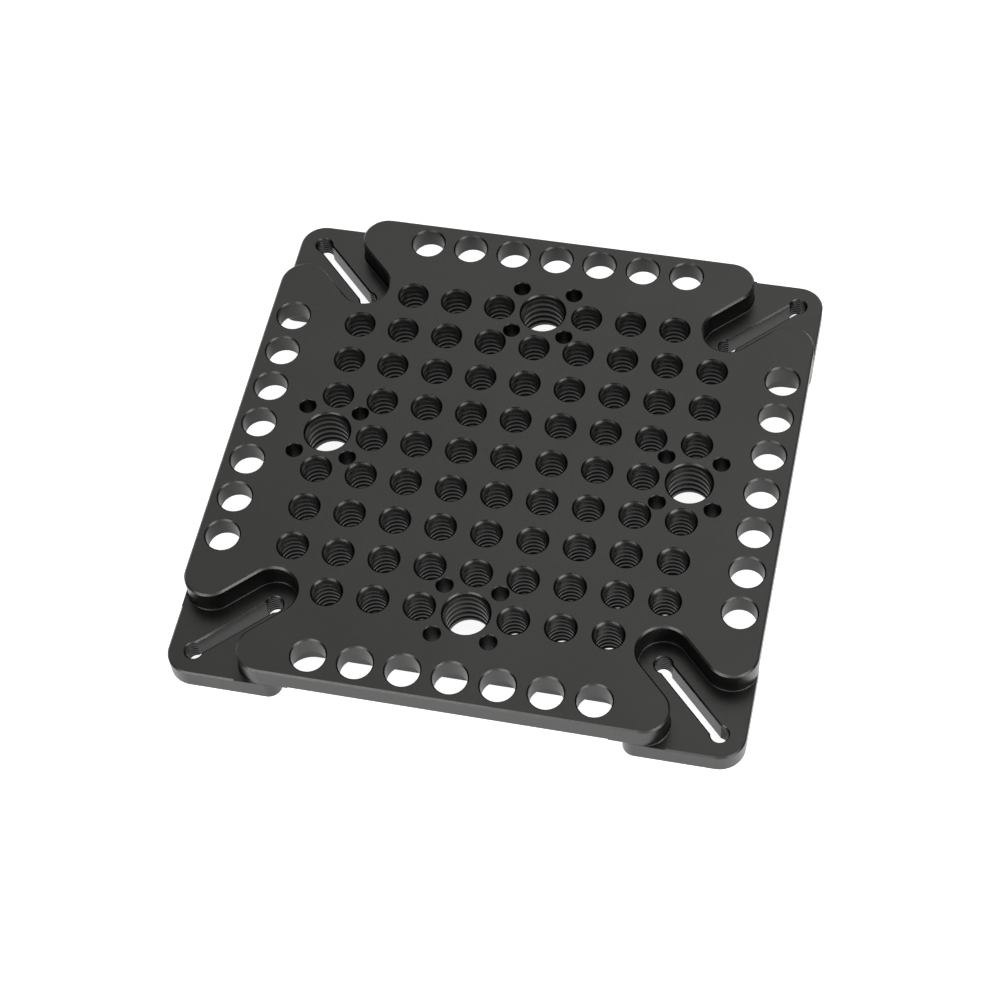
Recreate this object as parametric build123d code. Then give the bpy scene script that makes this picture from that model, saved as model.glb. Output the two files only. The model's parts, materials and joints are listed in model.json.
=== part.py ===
from build123d import *
import os
from math import hypot, sqrt

# Camera cheese plate, millimetres: one machined aluminium plate in two levels.
# The origin is at the centre of the underside, +Z is up and the sides lie along X and Y.

# Plate, sized by the monitor patterns that its corners carry
monitor_pattern = 100.0
small_monitor_pattern = 75.0
pattern_margin = 5.0
plate_thickness = 9.7
corner_radius = 5.0
edge_chamfer = 0.3

# Pockets cut from the top along each diagonal, down to a slotted flange at the corner
pocket_depth = 5.1
pocket_width = 10.0
pocket_mouth_radius = 5.0
pocket_floor_fillet = 0.3
pocket_rim_chamfer = 0.35

# Reliefs cut from below along each side, which leave a thin strip between two feet
strip_thickness = 4.7
strip_width = 10.0
relief_end_margin = 5.5
relief_inner_radius = 5.0
foot_radius = 2.5
chamfer_run_out = 2.2

# Corner slots with a round hole at each end
slot_width = 2.5
slot_hole_diameter = 3.3
slot_chamfer = 0.3

# Grid of tapped holes, each bored to its thread's major diameter
grid_pitch = 9.0
quarter_inch_bore = 6.35
three_eighths_bore = 9.525
least_wall = 1.0

# Locating pin holes, four around each large tapped hole
pin_hole_diameter = 3.2
pin_circle_diameter = 15.2
pin_hole_chamfer = 0.15

# Clearance holes along the middle of each side strip
clearance_diameter = 6.6
clearance_chamfer = 0.28

# Places worked out from the sizes above
plate_size = monitor_pattern + 2 * pattern_margin
half = plate_size / 2
pocket_floor = plate_thickness - pocket_depth
strip_underside = plate_thickness - strip_thickness
slot_inner = small_monitor_pattern / 2
slot_outer = monitor_pattern / 2

# A pocket's mouth curve fits on its straight wall, and ends where the side runs straight again
straight_wall = sqrt(2) * (half - slot_inner) - pocket_width / 2
mouth_radius = min(pocket_mouth_radius, 0.95 * straight_wall / (1 + sqrt(2)))
mouth_end = half - pocket_width / sqrt(2) - (1 + sqrt(2)) * mouth_radius
flange_start = mouth_end + mouth_radius

# The grid goes out as far as leaves a wall between its pin holes and the side reliefs
pin_offset = pin_circle_diameter / 2 / sqrt(2)
grid_room = half - strip_width - least_wall - pin_offset - pin_hole_diameter / 2
grid_reach = int(grid_room / grid_pitch)
large_hole_distance = grid_reach * grid_pitch

# Each side row holds as many clearance holes as leave a wall before the pockets' mouths
clearance_row = half - strip_width / 2
clearance_reach = int((mouth_end - least_wall - clearance_diameter / 2) / grid_pitch)
relief_length = 2 * (clearance_reach * grid_pitch + relief_end_margin)
close = 1e-4


def round_the_plate(piece):
    """The four copies of what repeats at every side or corner of the square."""
    return [Rot(0, 0, 90 * turn) * piece for turn in range(4)]


def far(point):
    """How far a point lies from the plate's middle lines, along X or Y, whichever is more."""
    return max(abs(point.X), abs(point.Y))


def near(point):
    return min(abs(point.X), abs(point.Y))


def from_slot_line(x, y):
    """The distance from the nearest diagonal's outer stretch, which starts at the slot."""
    short = min(0, (abs(x) + abs(y)) / sqrt(2) - sqrt(2) * slot_inner)
    return hypot(short, (abs(x) - abs(y)) / sqrt(2))


def upper_outline():
    """The square with a round-ended notch along each diagonal and soft corners at its mouth."""
    run = plate_size
    along = Pos(sqrt(2) * slot_inner + run / 2, 0) * SlotCenterToCenter(run, pocket_width)
    outline = Rectangle(plate_size, plate_size) - round_the_plate(Rot(0, 0, 45) * along)
    mouths = [v for v in outline.vertices() if abs(far(v) - half) < close]
    return fillet(mouths, mouth_radius)


def lower_outline():
    """The rounded square with a relief let into the middle of each side."""
    relief = Pos(half, 0) * Rectangle(2 * strip_width, relief_length)
    outline = Rectangle(plate_size, plate_size) - round_the_plate(relief)
    corners = [v for v in outline.vertices() if abs(near(v) - half) < close]
    outline = fillet(corners, corner_radius)
    inner = [v for v in outline.vertices() if abs(far(v) - half + strip_width) < close]
    outline = fillet(inner, relief_inner_radius)
    ends = [v for v in outline.vertices() if abs(near(v) - relief_length / 2) < close]
    mouths = [v for v in ends if abs(far(v) - half) < close]
    return fillet(mouths, foot_radius)


def corner_pockets():
    """All that the pocket tool takes away, with the tool's corner radius along the floor."""
    around = Rectangle(2 * plate_size, 2 * plate_size) - upper_outline()
    cutter = Pos(0, 0, pocket_floor) * extrude(around, 2 * pocket_depth)
    lowest = cutter.edges().group_by(Axis.Z)[0]
    return fillet([e for e in lowest if far(e.center()) < half + close], pocket_floor_fillet)


def flange_chamfer():
    """What the chamfer tool takes off one corner flange's top edge, clear of the pocket's mouth."""
    reach = half - flange_start
    middle = half - reach / 2
    corner = Pos(middle, middle, pocket_floor - edge_chamfer / 2) * Box(reach, reach, edge_chamfer)
    square = RectangleRounded(plate_size, plate_size, corner_radius)
    kept = extrude(square, edge_chamfer, taper=45)
    return corner - Pos(0, 0, pocket_floor - edge_chamfer) * kept


def strip_chamfer():
    """What the chamfer tool takes off one strip's lower edge, clear of the feet."""
    section = Plane.XZ * Polygon((0, 0), (-edge_chamfer, 0), (0, edge_chamfer), align=None)
    bar = extrude(section, relief_length / 2 - chamfer_run_out, both=True)
    return Pos(half, 0, strip_underside) * bar


def blank():
    """The plate before its holes: feet, strips and pockets, with the outer edges broken."""
    plate = extrude(lower_outline(), strip_underside)
    square = RectangleRounded(plate_size, plate_size, corner_radius)
    plate += Pos(0, 0, strip_underside) * extrude(square, strip_thickness)
    plate -= corner_pockets()
    plate = chamfer(plate.faces().sort_by(Axis.Z)[-1].outer_wire().edges(), pocket_rim_chamfer)
    plate = chamfer(plate.faces().sort_by(Axis.Z)[0].outer_wire().edges(), edge_chamfer)
    return plate - round_the_plate(flange_chamfer()) - round_the_plate(strip_chamfer())


def large_places():
    """The last hole of each middle row, which takes the large thread."""
    d = large_hole_distance
    return [(d, 0), (0, d), (-d, 0), (0, -d)]


def small_places():
    """Every other grid point that leaves a wall between its hole and the corner pockets."""
    steps = [grid_pitch * i for i in range(-grid_reach, grid_reach + 1)]
    grid = [(x, y) for x in steps for y in steps if (x, y) not in large_places()]
    clear = pocket_width / 2 + quarter_inch_bore / 2 + least_wall
    return [(x, y) for x, y in grid if from_slot_line(x, y) > clear]


def pin_places():
    """Around each large hole, on its pin circle at 45 degrees to the grid."""
    steps = (-pin_offset, pin_offset)
    return [(x + dx, y + dy) for x, y in large_places() for dx in steps for dy in steps]


def clearance_places():
    steps = [grid_pitch * i for i in range(-clearance_reach, clearance_reach + 1)]
    sides = [(clearance_row, s) for s in steps] + [(-clearance_row, s) for s in steps]
    return sides + [(y, x) for x, y in sides]


def round_holes(places, diameter):
    return Sketch() + [Pos(x, y) * Circle(diameter / 2) for x, y in places]


def slot():
    """One corner slot: a narrow run along the diagonal between two round holes."""
    middle = (slot_inner + slot_outer) / 2
    run = Rectangle(sqrt(2) * (slot_outer - slot_inner), slot_width)
    ends = [Pos(d, d) * Circle(slot_hole_diameter / 2) for d in (slot_inner, slot_outer)]
    return Pos(middle, middle) * Rot(0, 0, 45) * run + ends


def round_rims(plate, diameter):
    rims = [e for e in plate.edges().filter_by(GeomType.CIRCLE) if e.is_closed]
    return [e for e in rims if abs(e.radius - diameter / 2) < close]


def slot_rims(plate):
    """The edges of the slots' openings on top of the corner flanges."""
    flanges = plate.faces().filter_by(Axis.Z).filter_by(lambda f: abs(f.center().Z - pocket_floor) < close)
    return [e for face in flanges for wire in face.inner_wires() for e in wire.edges()]


def cheese_plate():
    plate = blank()
    plan = round_holes(small_places(), quarter_inch_bore)
    plan += round_holes(large_places(), three_eighths_bore)
    plan += round_holes(pin_places(), pin_hole_diameter)
    plan += round_holes(clearance_places(), clearance_diameter)
    plate -= extrude(plan + round_the_plate(slot()), plate_thickness)
    plate = chamfer(round_rims(plate, clearance_diameter), clearance_chamfer)
    pin_rims = [e for e in round_rims(plate, pin_hole_diameter) if e.center().Z > strip_underside]
    plate = chamfer(pin_rims, pin_hole_chamfer)
    return chamfer(slot_rims(plate), slot_chamfer)


os.makedirs("parts", exist_ok=True)
export_step(cheese_plate(), "parts/cheese_plate.step")
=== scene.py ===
import json
from math import ceil, cos, pi, radians, sin, tan

import bmesh
import bpy
from bpy.props import FloatProperty, FloatVectorProperty, IntProperty, PointerProperty
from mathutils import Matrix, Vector


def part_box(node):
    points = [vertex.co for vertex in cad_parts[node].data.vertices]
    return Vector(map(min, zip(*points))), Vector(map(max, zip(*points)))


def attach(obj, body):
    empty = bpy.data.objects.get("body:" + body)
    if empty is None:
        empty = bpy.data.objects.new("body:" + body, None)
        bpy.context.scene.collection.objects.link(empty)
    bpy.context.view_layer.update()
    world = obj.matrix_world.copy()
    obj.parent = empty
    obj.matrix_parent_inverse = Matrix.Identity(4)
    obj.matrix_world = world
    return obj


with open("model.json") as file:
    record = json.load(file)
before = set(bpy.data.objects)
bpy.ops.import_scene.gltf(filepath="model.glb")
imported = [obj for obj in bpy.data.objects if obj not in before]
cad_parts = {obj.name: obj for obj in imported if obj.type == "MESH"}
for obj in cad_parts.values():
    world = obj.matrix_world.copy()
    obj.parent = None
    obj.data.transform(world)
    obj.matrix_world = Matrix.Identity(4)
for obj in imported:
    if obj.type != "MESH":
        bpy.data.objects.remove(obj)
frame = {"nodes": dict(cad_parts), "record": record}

bl_info = {
    "name": "Camera cheese plate",
    "version": (1, 0, 0),
    "blender": (4, 5, 0),
    "location": "3D View > Sidebar > Cheese Plate",
    "description": "Finishes a black anodised cheese plate, cuts its threads and sets its studio",
    "category": "Object",
}

PLATE = "cheese_plate"
BODY = "root"
MM = 0.001

# The turned mouths of each tapped hole, above and below, as (depth, how far inside the rim) in
# millimetres. Each ends at the thread's crests, where the tap went in or came out.
QUARTER_MOUTHS = (((0, 0), (0.06, 0.06), (0.2, 0.08), (0.48, 0.37), (0.58, 0.6)),
                  ((0, 0), (0.1, 0.1), (0.42, 0.6)))
THREE_EIGHTHS_MOUTHS = (((0, 0), (0.3, 0.3), (0.8, 0.33), (0.98, 0.7)),
                        ((0, 0), (0.1, 0.1), (0.4, 0.7)))

# The softboxes round the plate: how far round from the front towards the right and how high, in
# degrees, then their width and height in metres. All stand at the same distance.
SOFTBOXES = {"left": (-24, 24, 0.42, 0.26), "right": (58, 33, 0.36, 0.26), "front": (14, 23, 0.34, 0.20)}
SOFTBOX_DISTANCE = 0.6

# Half the floor's side, then the radius of the ring of black cloth round it, in metres
FLOOR_REACH = 0.62
FLAG_RADIUS = 0.9


def linear(hex_colour):
    """An sRGB hex colour as the linear RGB that shaders take."""
    channels = [int(hex_colour[i:i + 2], 16) / 255 for i in (0, 2, 4)]
    return [c / 12.92 if c <= 0.04045 else ((c + 0.055) / 1.055) ** 2.4 for c in channels]


def add_node(tree, kind, inputs=None, **settings):
    """Adds a node, sets it up and fills its inputs by value or by a link from another socket."""
    node = tree.nodes.new(kind)
    for name, value in settings.items():
        setattr(node, name, value)
    for name, value in (inputs or {}).items():
        if isinstance(value, bpy.types.NodeSocket):
            tree.links.new(value, node.inputs[name])
        else:
            node.inputs[name].default_value = value
    return node


def new_material(name):
    material = bpy.data.materials.new(name)
    material.use_nodes = True
    material.node_tree.nodes.clear()
    return material, material.node_tree


def hole_places(prefix):
    """Centres of the holes that the record's mounts of that name state, and their radius, in metres."""
    places, radius = set(), 0
    for mount in frame["record"]["mounts"]:
        if not mount["name"].startswith(prefix):
            continue
        dims = mount["dims"]
        radius = dims["hole_r_mm"] * MM
        if "pcd_mm" in dims:
            r = dims["pcd_mm"] / 2 * MM
            steps = [(r, 0), (0, r), (-r, 0), (0, -r)]
        else:
            dx = dims.get("spacing_x_mm", 0) / 2 * MM
            dy = dims.get("spacing_y_mm", 0) / 2 * MM
            steps = [(i * dx, j * dy) for i in (-1, 1) for j in (-1, 1)]
        x, y, _ = mount["pos_m"]
        places.update((round(x + i, 6), round(y + j, 6)) for i, j in steps)
    if not places:
        raise RuntimeError("the record has no mount named " + prefix)
    return sorted(places), radius


# Finishes

def in_holes(tree, eighth, prefix, radius):
    """1 within a radius of the named holes' axes, for a place folded into one eighth of the plate."""
    spots = {(max(abs(x), abs(y)), min(abs(x), abs(y))) for x, y in hole_places(prefix)[0]}
    away = [add_node(tree, "ShaderNodeVectorMath", {
        0: eighth.outputs[0], 1: (*spot, 0)}, operation="DISTANCE").outputs["Value"]
        for spot in sorted(spots)]
    nearest = away[0]
    for other in away[1:]:
        nearest = add_node(tree, "ShaderNodeMath", {
            0: nearest, 1: other}, operation="MINIMUM").outputs[0]
    return add_node(tree, "ShaderNodeMath", {
        0: nearest, 1: radius}, operation="LESS_THAN").outputs[0]


def matte_anodised_aluminium(finish):
    """Milled aluminium, fine bead blasted, then anodised and dyed black, with painted shade in the pockets'
    corners, the slots' ends and the pin holes.
    """
    material, tree = new_material("matte_anodised_aluminium")
    place = add_node(tree, "ShaderNodeTexCoord").outputs["Object"]
    folded = add_node(tree, "ShaderNodeVectorMath", {0: place}, operation="ABSOLUTE")
    x, y, height = add_node(tree, "ShaderNodeSeparateXYZ", {0: folded.outputs[0]}).outputs

    # The dye takes a little unevenly over some 15 mm, which keeps the flat faces from looking printed.
    clouds = add_node(tree, "ShaderNodeTexNoise", {
        "Vector": place, "Scale": 1 / finish.cloud_size, "Detail": 2.0, "Roughness": 0.5})
    light = [c * (1 + finish.cloud_depth) for c in finish.dye]
    dark = [c * (1 - finish.cloud_depth) for c in finish.dye]
    dyed = add_node(tree, "ShaderNodeMix", {
        "Factor": clouds.outputs["Fac"], 6: (*dark, 1), 7: (*light, 1)}, data_type="RGBA")

    # Painted shade: every face is darkened towards the shaded dye in a thin band at the height of the
    # corner radius round the pockets' floors.
    lift = add_node(tree, "ShaderNodeMath", {
        0: height, 1: finish.pocket_floor + finish.corner_lift}, operation="SUBTRACT")
    away = add_node(tree, "ShaderNodeMath", {0: lift.outputs[0]}, operation="ABSOLUTE")
    corner = add_node(tree, "ShaderNodeMapRange", {
        "Value": away.outputs[0], "From Min": finish.corner_core, "From Max": finish.corner_edge,
        "To Min": 1.0, "To Max": 0.0})

    # The slots' end holes are tapped too finely to cut here, so their 0.7 mm rings are only shaded.
    far = add_node(tree, "ShaderNodeMath", {0: x, 1: y}, operation="MAXIMUM")
    near = add_node(tree, "ShaderNodeMath", {0: x, 1: y}, operation="MINIMUM")
    eighth = add_node(tree, "ShaderNodeCombineXYZ", {"X": far.outputs[0], "Y": near.outputs[0]})
    tapped = in_holes(tree, eighth, "corner_slot_ends", finish.narrow_radius)
    turn = add_node(tree, "ShaderNodeMath", {
        0: height, 1: 2 * pi / finish.fine_pitch}, operation="MULTIPLY")
    ring = add_node(tree, "ShaderNodeMath", {0: turn.outputs[0]}, operation="SINE")
    rings = add_node(tree, "ShaderNodeMath", {0: ring.outputs[0], 1: tapped}, operation="MULTIPLY")

    # Painted shade: these ends and the pin holes are darker all through, and so is the corner band; both
    # mix towards the dye scaled down by the recess shade.
    pins = in_holes(tree, eighth, "pin_holes", finish.narrow_radius)
    narrow = add_node(tree, "ShaderNodeMath", {0: tapped, 1: pins}, operation="MAXIMUM")
    recess = add_node(tree, "ShaderNodeMath", {
        0: corner.outputs["Result"], 1: narrow.outputs[0]}, operation="MAXIMUM")
    shade = [c * finish.recess_painted_shade for c in finish.dye]
    colour = add_node(tree, "ShaderNodeMix", {
        "Factor": recess.outputs[0], 6: dyed.outputs[2], 7: (*shade, 1)}, data_type="RGBA")

    # Blasting leaves pits of about 0.05 mm. They are drawn at 0.3 mm, the finest that still shows.
    grain = add_node(tree, "ShaderNodeTexNoise", {
        "Vector": place, "Scale": 1 / finish.grain_size, "Detail": 3.0, "Roughness": 0.6})
    sheen = add_node(tree, "ShaderNodeMapRange", {
        "Value": grain.outputs["Fac"], "From Min": 0.3, "From Max": 0.7,
        "To Min": finish.roughness - finish.roughness_spread,
        "To Max": finish.roughness + finish.roughness_spread})
    cut = add_node(tree, "ShaderNodeBump", {
        "Height": rings.outputs[0], "Strength": 1.0, "Distance": finish.fine_depth})
    pits = add_node(tree, "ShaderNodeBump", {
        "Height": grain.outputs["Fac"], "Strength": 1.0, "Distance": finish.grain_depth,
        "Normal": cut.outputs["Normal"]})

    # Metallic, because the light comes back from the metal under the clear oxide, dimmed by the dye.
    shader = add_node(tree, "ShaderNodeBsdfPrincipled", {
        "Base Color": colour.outputs[2], "Metallic": 1.0,
        "Roughness": sheen.outputs["Result"], "Normal": pits.outputs["Normal"]})
    add_node(tree, "ShaderNodeOutputMaterial", {"Surface": shader.outputs["BSDF"]})
    return material


def tapped_anodised_aluminium(finish):
    """The same dyed oxide over cut threads, which the tap leaves smoother than the blast does, with painted
    shade darkening its colour.
    """
    material, tree = new_material("tapped_anodised_aluminium")
    place = add_node(tree, "ShaderNodeTexCoord").outputs["Object"]

    # Fine rings along the thread, a tenth of a millimetre apart, where the tap's teeth passed.
    across = add_node(tree, "ShaderNodeMapping", {"Vector": place, "Scale": (0.2, 0.2, 1.0)})
    marks = add_node(tree, "ShaderNodeTexNoise", {
        "Vector": across.outputs["Vector"], "Scale": 1 / finish.tap_mark_size, "Detail": 1.0})
    scored = add_node(tree, "ShaderNodeBump", {
        "Height": marks.outputs["Fac"], "Strength": 1.0, "Distance": finish.tap_mark_depth})

    # Painted shade: the threads inside the holes get a darker copy of the dye than the faces.
    shade = [c * finish.thread_painted_shade for c in finish.dye]
    shader = add_node(tree, "ShaderNodeBsdfPrincipled", {
        "Base Color": (*shade, 1), "Metallic": 1.0,
        "Roughness": finish.thread_roughness, "Normal": scored.outputs["Normal"]})
    add_node(tree, "ShaderNodeOutputMaterial", {"Surface": shader.outputs["BSDF"]})
    return material


# Threads

def thread_profile(pitch, crest, root):
    """One turn of a 60 degree internal thread as (height, radius): root land, flank, crest land, flank."""
    flank = (root - crest) * tan(radians(30))
    root_land = pitch / 8
    crest_land = pitch - root_land - 2 * flank
    start = root_land + flank
    points = [(0, root), (root_land, root)]
    for share in (1 / 3, 2 / 3):
        points.append((root_land + share * flank, root + share * (crest - root)))
    for share in (0, 1 / 3, 2 / 3, 1):
        points.append((start + share * crest_land, crest))
    for share in (1 / 3, 2 / 3):
        points.append((start + crest_land + share * flank, crest + share * (root - crest)))
    return points


def thread_mesh(name, pitch, crest, root, mouths, start, form):
    """A closed sleeve inside the bore's wall: a turned mouth at both ends and a thread between them."""
    low, high = (corner.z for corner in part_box(PLATE))
    rim = root + form.rim_overlap
    skin = form.rim_overlap / 2
    above, below = ([(depth * MM + skin, max(rim - inset * MM, crest)) for depth, inset in mouth]
                    for mouth in mouths)
    top, bottom = high - above[-1][0], low + below[-1][0]
    profile = thread_profile(pitch, crest, root)
    turns = range(-2, ceil((high - low) / pitch) + 2)
    rows = [(low + turn * pitch + z, r) for turn in turns for z, r in profile]
    steps = form.steps
    mesh = bmesh.new()

    def point(radius, step, z):
        angle = 2 * pi * step / steps + start
        return mesh.verts.new((radius * cos(angle), radius * sin(angle), z))

    def helix_point(row, step):
        z = rows[row][0] + pitch * step / steps
        if bottom < z < top:
            return point(rows[row][1], step, z)
        return point(crest, step, min(max(z, bottom), top))

    helix = [[helix_point(row, step) for step in range(steps)] for row in range(len(rows))]

    def corner(row, step):
        """After a whole turn the thread goes on one pitch higher, in the next turn's rows."""
        return helix[row][step] if step < steps else helix[row + len(profile)][0]

    for row in range(len(rows) - len(profile) - 1):
        for step in range(steps):
            mesh.faces.new([corner(row, step), corner(row, step + 1),
                            corner(row + 1, step + 1), corner(row + 1, step)])

    outside = rim + form.rim_overlap
    upper = [(r, high - depth) for depth, r in reversed(above)] + [(outside, high - skin)]
    lower = [(outside, low + skin)] + [(r, low + depth) for depth, r in below]
    rings = [[point(r, step, z) for step in range(steps)] for r, z in upper + lower]
    for a, b in zip(rings, rings[1:]):
        for i in range(steps):
            j = (i + 1) % steps
            mesh.faces.new([a[i], a[j], b[j], b[i]])
    bmesh.ops.remove_doubles(mesh, verts=mesh.verts, dist=form.weld)
    bmesh.ops.recalc_face_normals(mesh, faces=mesh.faces)
    data = bpy.data.meshes.new(name)
    mesh.to_mesh(data)
    mesh.free()
    data.shade_smooth()
    data.set_sharp_from_angle(angle=form.sharp_angle)
    return data


def cut_threads(name, prefix, pitch, crest, mouths, start, form, finish):
    """Gives each hole that the mounts of that name state a threaded sleeve of its own."""
    places, root = hole_places(prefix)
    data = thread_mesh(name, pitch, crest, root, mouths, start, form)
    data.materials.append(tapped_anodised_aluminium(finish))
    for number, (x, y) in enumerate(places, 1):
        piece = bpy.data.objects.new(f"{name}_{number:02d}", data)
        bpy.context.scene.collection.objects.link(piece)
        piece.location = (x, y, 0)
        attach(piece, BODY)


# Studio

def seen_directly(tree):
    """1 where a camera, mirror or glass ray looks, and 0 where light only bounces."""
    path = add_node(tree, "ShaderNodeLightPath")
    either = add_node(tree, "ShaderNodeMath", {
        0: path.outputs["Is Camera Ray"], 1: path.outputs["Is Glossy Ray"]}, operation="MAXIMUM")
    return add_node(tree, "ShaderNodeMath", {
        0: either.outputs[0], 1: path.outputs["Is Transmission Ray"]}, operation="MAXIMUM").outputs[0]


def light_table(studio):
    """Matt white acrylic, lit from below, so that only a soft trace of the plate's shadow shows."""
    material, tree = new_material("light_table")
    acrylic = add_node(tree, "ShaderNodeBsdfDiffuse", {"Color": (*studio.table, 1)})
    strength = add_node(tree, "ShaderNodeMath", {
        0: seen_directly(tree), 1: studio.backlight}, operation="MULTIPLY")
    glow = add_node(tree, "ShaderNodeEmission", {"Strength": strength.outputs[0]})
    both = add_node(tree, "ShaderNodeAddShader", {0: acrylic.outputs[0], 1: glow.outputs[0]})
    add_node(tree, "ShaderNodeOutputMaterial", {"Surface": both.outputs[0]})
    return material


def black_velvet():
    """Black velvet, which sends back almost nothing."""
    material, tree = new_material("black_velvet")
    pile = add_node(tree, "ShaderNodeBsdfDiffuse", {"Color": (*linear("1C1C1C"), 1)})
    add_node(tree, "ShaderNodeOutputMaterial", {"Surface": pile.outputs[0]})
    return material


def studio_room(studio):
    """A dim room, white round its foot, with one wide soft light overhead, towards the back."""
    world = bpy.data.worlds.new("studio_room")
    world.use_nodes = True
    tree = world.node_tree
    tree.nodes.clear()
    outwards = add_node(tree, "ShaderNodeTexCoord").outputs["Generated"]
    height = add_node(tree, "ShaderNodeSeparateXYZ", {0: outwards}).outputs["Z"]
    foot = add_node(tree, "ShaderNodeMapRange", {
        "Value": height, "From Min": sin(studio.foot), "From Max": sin(studio.foot + radians(2)),
        "To Min": 1.0, "To Max": 0.0}, interpolation_type="SMOOTHSTEP")
    towards = add_node(tree, "ShaderNodeVectorMath", {
        0: outwards, 1: Vector(studio.overhead).normalized()}, operation="DOT_PRODUCT")
    soft = add_node(tree, "ShaderNodeMapRange", {
        "Value": towards.outputs["Value"], "From Min": cos(studio.overhead_edge),
        "From Max": cos(studio.overhead_core),
        "To Min": studio.dim, "To Max": studio.bright}, interpolation_type="SMOOTHSTEP")
    light = add_node(tree, "ShaderNodeMath", {
        0: foot.outputs["Result"], 1: soft.outputs["Result"]}, operation="MAXIMUM")
    sky = add_node(tree, "ShaderNodeBackground", {
        "Color": (1, 1, 1, 1), "Strength": light.outputs[0]})
    add_node(tree, "ShaderNodeOutputWorld", {"Surface": sky.outputs[0]})
    return world


def stage_piece(name, points, faces, material):
    """A plain mesh of the studio, which isn't part of the object."""
    data = bpy.data.meshes.new(name)
    data.from_pydata(points, [], faces)
    data.materials.append(material)
    piece = bpy.data.objects.new(name, data)
    bpy.context.scene.collection.objects.link(piece)
    return piece


def flags(studio):
    """A ring of black cloth round the set, out of the camera's sight, that darkens the low reflections."""
    sides, hem = 48, 0.001
    top = FLAG_RADIUS * tan(studio.flag_height)
    turns = [2 * pi * i / sides for i in range(sides)]
    points = [(FLAG_RADIUS * cos(a), FLAG_RADIUS * sin(a), z) for z in (hem, top) for a in turns]
    faces = [(i, (i + 1) % sides, sides + (i + 1) % sides, sides + i) for i in range(sides)]
    stage_piece("flags", points, faces, black_velvet()).visible_camera = False


def softbox(name, azimuth, elevation, width, height, brightness):
    """A lamp round the plate: azimuth turns from the front towards the right, in degrees."""
    a, e = radians(azimuth), radians(elevation)
    out = Vector((sin(a) * cos(e), -cos(a) * cos(e), sin(e)))
    data = bpy.data.lights.new(name, "AREA")
    data.shape = "RECTANGLE"
    data.size, data.size_y = width, height
    data.energy = brightness * pi * width * height
    lamp = bpy.data.objects.new(name, data)
    bpy.context.scene.collection.objects.link(lamp)
    lamp.location = out * SOFTBOX_DISTANCE
    lamp.rotation_euler = out.to_track_quat("Z", "Y").to_euler()


class PlateFinish(bpy.types.PropertyGroup):
    """What the anodising looks like, and the shade painted into its recesses and threads"""
    dye: FloatVectorProperty(
        name="Dye", description="Colour of the dyed oxide", size=3, subtype="COLOR",
        min=0, max=1, default=linear("424241"))
    cloud_size: FloatProperty(
        name="Cloud size", description="Width of the dye's uneven patches", default=15 * MM,
        unit="LENGTH", precision=5)
    cloud_depth: FloatProperty(
        name="Cloud depth", description="How far the patches differ from the dye", default=0.09,
        subtype="FACTOR", min=0, max=1)
    roughness: FloatProperty(
        name="Roughness", description="How matt the blasted faces are", default=0.36,
        subtype="FACTOR", min=0, max=1)
    roughness_spread: FloatProperty(
        name="Roughness spread", description="How far the grain moves the roughness either way",
        default=0.05, subtype="FACTOR", min=0, max=1)
    grain_size: FloatProperty(
        name="Grain size", description="Width of the blasted pits as drawn", default=0.3 * MM,
        unit="LENGTH", precision=5)
    grain_depth: FloatProperty(
        name="Grain depth", description="Depth of the blasted pits", default=0.004 * MM,
        unit="LENGTH", precision=6)
    pocket_floor: FloatProperty(
        name="Pocket floor", description="Height of the pockets' floors", default=4.6 * MM,
        unit="LENGTH", precision=5)
    # The band of painted shade at the height of the pockets' corner radius
    corner_lift: FloatProperty(
        name="Corner lift", description="How high over the pockets' floors their dark corner band runs",
        default=0.19 * MM, unit="LENGTH", precision=5)
    corner_core: FloatProperty(
        name="Corner core", description="Half width of the band at its full depth", default=0.1 * MM,
        unit="LENGTH", precision=5)
    corner_edge: FloatProperty(
        name="Corner edge", description="Half width of the band with its soft edges", default=0.17 * MM,
        unit="LENGTH", precision=5)
    narrow_radius: FloatProperty(
        name="Narrow radius", description="How far the pin holes and the slots' ends reach from their axes",
        default=1.76 * MM, unit="LENGTH", precision=5)
    fine_pitch: FloatProperty(
        name="Fine pitch", description="Pitch of the slots' tapped ends", default=0.7 * MM,
        unit="LENGTH", precision=5)
    fine_depth: FloatProperty(
        name="Fine depth", description="Depth of the slots' tapped rings", default=0.1 * MM,
        unit="LENGTH", precision=5)
    # Painted shade in the pockets' corners, the slots' ends and the pin holes: how much of the dye's colour
    # is left there
    recess_painted_shade: FloatProperty(
        name="Recess shade", description="How much of the dye's colour shows in corners and narrow holes",
        default=0.55, subtype="FACTOR", min=0, max=1)
    thread_roughness: FloatProperty(
        name="Thread roughness", description="How matt the cut threads are", default=0.3,
        subtype="FACTOR", min=0, max=1)
    # Painted shade on the cut threads inside the holes
    thread_painted_shade: FloatProperty(
        name="Thread shade", description="How much of the dye's colour shows on the cut threads",
        default=0.8, subtype="FACTOR", min=0, max=1)
    tap_mark_size: FloatProperty(
        name="Tap mark size", description="Spacing of the tap's marks", default=0.1 * MM,
        unit="LENGTH", precision=5)
    tap_mark_depth: FloatProperty(
        name="Tap mark depth", description="Depth of the tap's marks", default=0.0008 * MM,
        unit="LENGTH", precision=6)


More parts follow.
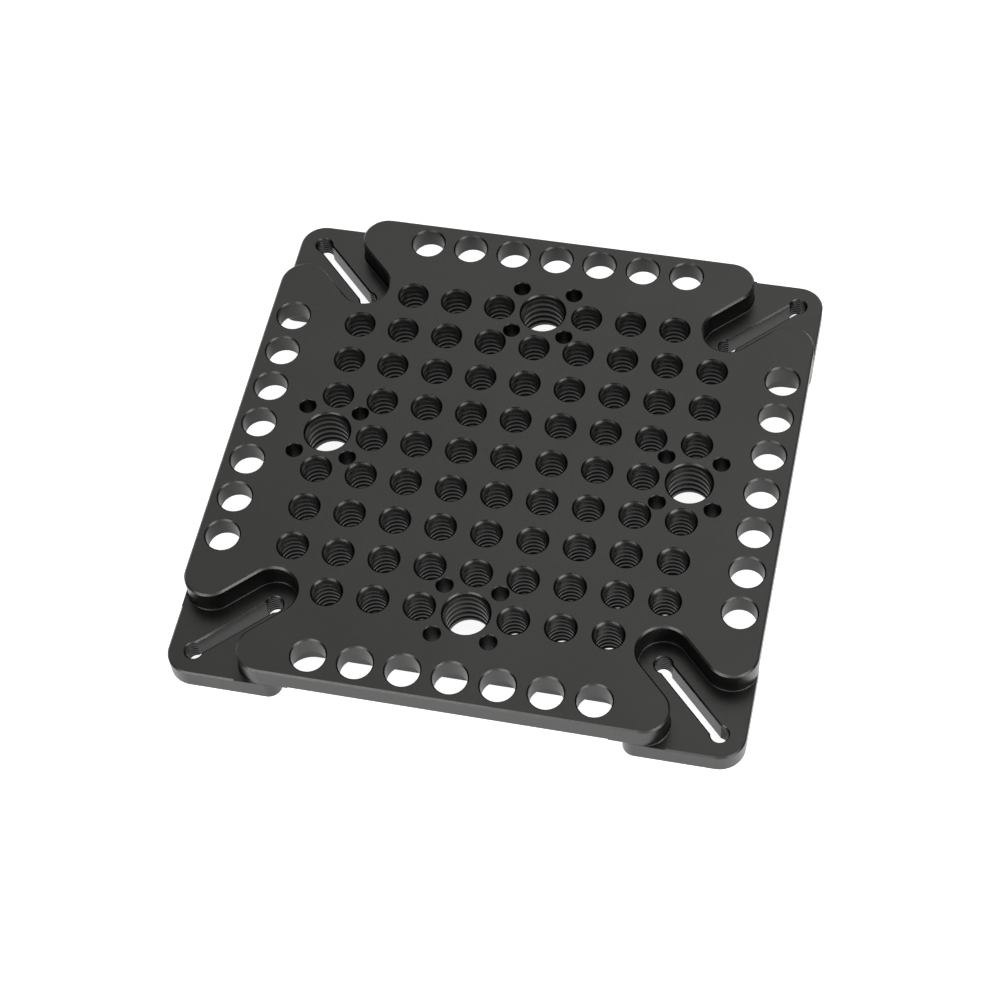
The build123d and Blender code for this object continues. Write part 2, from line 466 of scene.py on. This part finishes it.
class ThreadForm(bpy.types.PropertyGroup):
    """The two threads and how finely they are drawn"""
    quarter_pitch: FloatProperty(
        name="1/4 in pitch", description="20 turns to the inch", default=25.4 / 20 * MM,
        unit="LENGTH", precision=5)
    quarter_crest: FloatProperty(
        name="1/4 in crest radius", description="Radius inside the crests", default=2.66 * MM,
        unit="LENGTH", precision=5)
    quarter_start: FloatProperty(
        name="1/4 in start", description="Where the thread starts round the hole",
        default=radians(-170), subtype="ANGLE")
    three_eighths_pitch: FloatProperty(
        name="3/8 in pitch", description="16 turns to the inch", default=25.4 / 16 * MM,
        unit="LENGTH", precision=5)
    three_eighths_crest: FloatProperty(
        name="3/8 in crest radius", description="Radius inside the crests", default=4.15 * MM,
        unit="LENGTH", precision=5)
    three_eighths_start: FloatProperty(
        name="3/8 in start", description="Where the thread starts round the hole",
        default=radians(-229), subtype="ANGLE")
    rim_overlap: FloatProperty(
        name="Rim overlap", description="How far a countersink's rim goes into the plate",
        default=0.03 * MM, unit="LENGTH", precision=5)
    steps: IntProperty(name="Steps", description="Facets round a hole", default=42, min=12)
    sharp_angle: FloatProperty(
        name="Sharp angle", description="Edges that turn by more than this stay sharp",
        default=radians(25), subtype="ANGLE")
    weld: FloatProperty(
        name="Weld", description="Points nearer than this become one", default=0.001 * MM,
        unit="LENGTH", precision=6)


class Studio(bpy.types.PropertyGroup):
    """Camera, lamps and floor"""
    camera_place: FloatVectorProperty(
        name="Camera place", description="From the middle of the underside", size=3,
        subtype="TRANSLATION", unit="LENGTH", default=(0.0773, -0.2612, 0.4002))
    camera_turn: FloatVectorProperty(
        name="Camera turn", description="Tilt, roll and heading", size=3, subtype="EULER",
        unit="ROTATION", default=(radians(33.891), radians(3.370), radians(12.100)))
    lens: FloatProperty(
        name="Lens", description="Focal length on a 36 mm wide frame", default=89.07, unit="CAMERA")
    left_lamp: FloatProperty(
        name="Left lamp", description="Brightness of the front left softbox", default=5.5)
    right_lamp: FloatProperty(
        name="Right lamp", description="Brightness of the front right softbox", default=7.0)
    front_lamp: FloatProperty(
        name="Front lamp", description="Brightness of the weak softbox between them", default=1.6)
    overhead: FloatVectorProperty(
        name="Overhead", description="Direction of the wide soft light overhead", size=3,
        subtype="DIRECTION", default=(0.15, 0.75, 0.65))
    overhead_core: FloatProperty(
        name="Overhead core", description="Half width of its full brightness", default=radians(10),
        subtype="ANGLE")
    overhead_edge: FloatProperty(
        name="Overhead edge", description="Half width at which it has faded out", default=radians(52),
        subtype="ANGLE")
    bright: FloatProperty(name="Bright", description="Brightness of the overhead light", default=1.44)
    dim: FloatProperty(name="Dim", description="Brightness of the room round it", default=0.2)
    foot: FloatProperty(
        name="Foot", description="Height of the white wall at the room's foot", default=radians(14),
        subtype="ANGLE")
    flag_height: FloatProperty(
        name="Flag height", description="How high the black cloth reaches, as seen from the plate",
        default=radians(28), subtype="ANGLE")
    table: FloatVectorProperty(
        name="Table", description="Colour of the floor", size=3, subtype="COLOR", min=0, max=1,
        default=linear("E6E6E8"))
    backlight: FloatProperty(
        name="Backlight", description="The floor's own light, which no shadow dims", default=0.9,
        subtype="FACTOR", min=0, max=1)


class PLATE_OT_finish(bpy.types.Operator):
    """Give the plate its matt black anodised finish"""
    bl_idname = "cheese_plate.finish"
    bl_label = "Finish the Plate"

    def execute(self, context):
        data = frame["nodes"][PLATE].data
        data.materials.clear()
        data.materials.append(matte_anodised_aluminium(context.scene.plate_finish))
        return {"FINISHED"}


class PLATE_OT_quarter_threads(bpy.types.Operator):
    """Cut the quarter inch threads of the grid"""
    bl_idname = "cheese_plate.quarter_threads"
    bl_label = "Cut the 1/4 in Threads"

    def execute(self, context):
        form = context.scene.thread_form
        cut_threads("quarter_thread", "quarter_", form.quarter_pitch, form.quarter_crest,
                    QUARTER_MOUTHS, form.quarter_start, form, context.scene.plate_finish)
        return {"FINISHED"}


class PLATE_OT_three_eighths_threads(bpy.types.Operator):
    """Cut the three eighths inch threads at the ends of the middle rows"""
    bl_idname = "cheese_plate.three_eighths_threads"
    bl_label = "Cut the 3/8 in Threads"

    def execute(self, context):
        form = context.scene.thread_form
        cut_threads("three_eighths_thread", "three_eighths_", form.three_eighths_pitch,
                    form.three_eighths_crest, THREE_EIGHTHS_MOUTHS, form.three_eighths_start,
                    form, context.scene.plate_finish)
        return {"FINISHED"}


class PLATE_OT_studio(bpy.types.Operator):
    """Set the white floor, the softboxes and the camera"""
    bl_idname = "cheese_plate.studio"
    bl_label = "Set the Studio"

    def execute(self, context):
        scene = context.scene
        studio = scene.studio
        r = FLOOR_REACH
        stage_piece("floor", [(-r, -r, 0), (r, -r, 0), (r, r, 0), (-r, r, 0)], [(0, 1, 2, 3)],
                    light_table(studio))
        flags(studio)
        scene.world = studio_room(studio)
        for side, place in SOFTBOXES.items():
            softbox(side + "_softbox", *place, getattr(studio, side + "_lamp"))

        camera = bpy.data.cameras.new("camera")
        camera.sensor_width = 36
        camera.lens = studio.lens
        camera.clip_start = 0.01
        camera.clip_end = 10
        holder = bpy.data.objects.new("camera", camera)
        scene.collection.objects.link(holder)
        holder.location = studio.camera_place
        holder.rotation_euler = studio.camera_turn
        scene.camera = holder
        scene.view_settings.view_transform = "Standard"
        return {"FINISHED"}


class PLATE_PT_panel(bpy.types.Panel):
    """Lists the steps that dress the plate"""
    bl_idname = "PLATE_PT_panel"
    bl_label = "Cheese Plate"
    bl_space_type = "VIEW_3D"
    bl_region_type = "UI"
    bl_category = "Cheese Plate"

    def draw(self, context):
        for step in STEPS:
            self.layout.operator(step.bl_idname)


GROUPS = {"plate_finish": PlateFinish, "thread_form": ThreadForm, "studio": Studio}
STEPS = (PLATE_OT_finish, PLATE_OT_quarter_threads, PLATE_OT_three_eighths_threads, PLATE_OT_studio)


def register():
    for name, group in GROUPS.items():
        bpy.utils.register_class(group)
        setattr(bpy.types.Scene, name, PointerProperty(type=group))
    for step in (*STEPS, PLATE_PT_panel):
        bpy.utils.register_class(step)


def unregister():
    for step in (*STEPS, PLATE_PT_panel):
        bpy.utils.unregister_class(step)
    for name, group in GROUPS.items():
        delattr(bpy.types.Scene, name)
        bpy.utils.unregister_class(group)


def main():
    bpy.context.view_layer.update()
    register()
    bpy.ops.cheese_plate.finish()
    bpy.ops.cheese_plate.quarter_threads()
    bpy.ops.cheese_plate.three_eighths_threads()
    bpy.ops.cheese_plate.studio()


if __name__ == "__main__":
    main()
